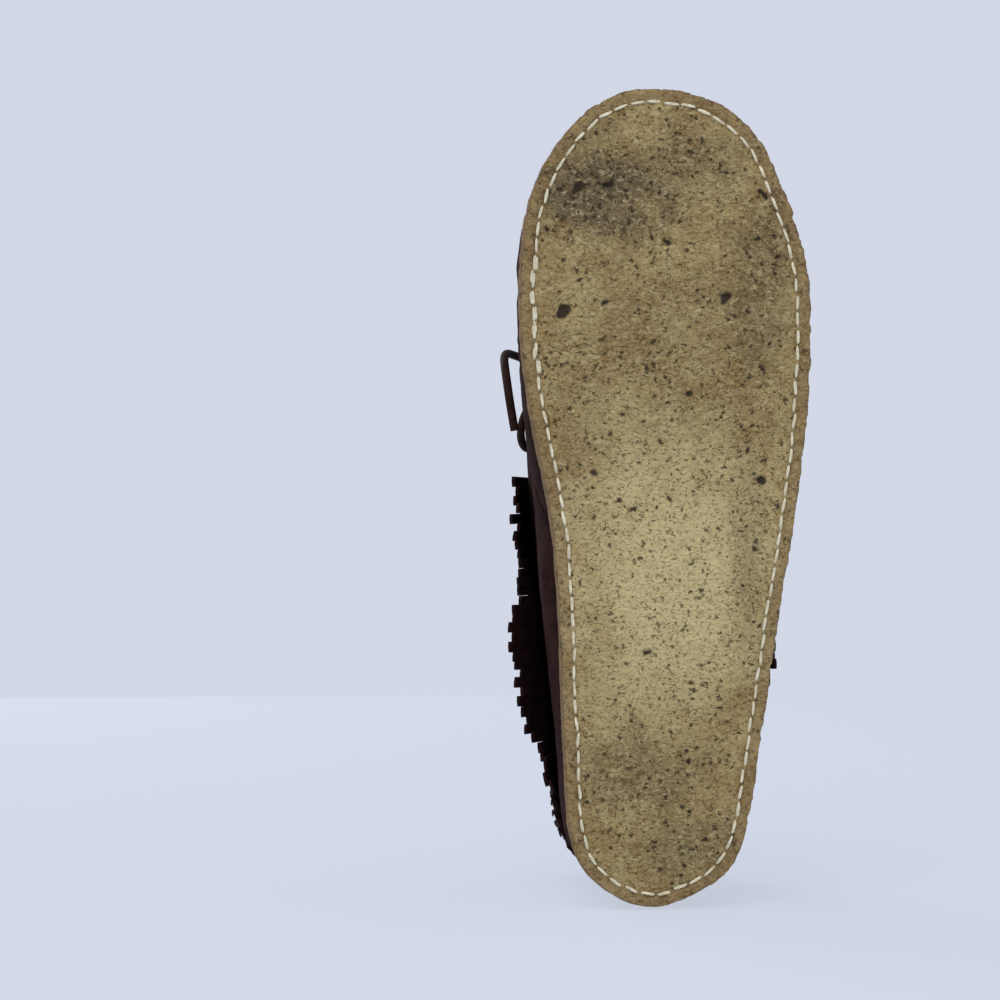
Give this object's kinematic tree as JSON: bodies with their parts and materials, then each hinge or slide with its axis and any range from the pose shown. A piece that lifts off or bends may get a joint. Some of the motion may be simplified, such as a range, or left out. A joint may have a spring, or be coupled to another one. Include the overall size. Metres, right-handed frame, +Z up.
{
  "type": "moccasin",
  "caption": "Left-foot suede moccasin with a stitched natural crepe sole, hand-sewn apron, laced throat with a bow, and a slit fringe hanging from the ankle collar.",
  "frame": {"origin": "middle of the crepe sole's underside, on the ground", "axes": "+Z up, toe towards -Y, heel towards +Y, medial side of the left foot towards -X"},
  "size_m": [0.097, 0.2621, 0.1033],
  "materials": {
    "crepe": "worn natural crepe, mottled, matte",
    "suede": "dark burgundy brown suede, matte",
    "leather_board": "plain tan leather board, matte",
    "lining": "smooth lining leather",
    "footbed": "smooth tan sock leather over foam",
    "thread": "waxed cream thread",
    "dark_thread": "waxed dark brown thread",
    "lace": "dark brown leather thong",
    "eyelet": "antique brass, dull"
  },
  "bodies": {
    "shoe": {"crepe_outsole": "crepe", "outsole_stitches": "thread", "midsole": "leather_board", "wrap_vamp": "suede", "apron": "suede", "quarter_medial": "suede", "quarter_lateral": "suede", "heel_counter": "leather_board", "heel_lining": "lining", "heel_strip": "suede", "insole_board": "leather_board", "footbed": "footbed", "collar_band": "suede", "fringe_medial": "suede", "fringe_lateral": "suede", "eyelets": "eyelet", "apron_stitches": "dark_thread", "collar_stitches": "dark_thread", "lace": "lace", "lace_knot": "lace", "lace_loop_medial": "lace", "lace_loop_lateral": "lace", "lace_end_medial": "lace", "lace_end_lateral": "lace"},
    "tongue": {"tongue": "suede"}
  },
  "joints": [
    {"name": "tongue_fold", "type": "hinge", "parent": "shoe", "child": "tongue", "pos_m": [0, -0.0555, 0.0555], "axis": [1, 0, 0], "range_deg": [-12, 0]}
  ]
}
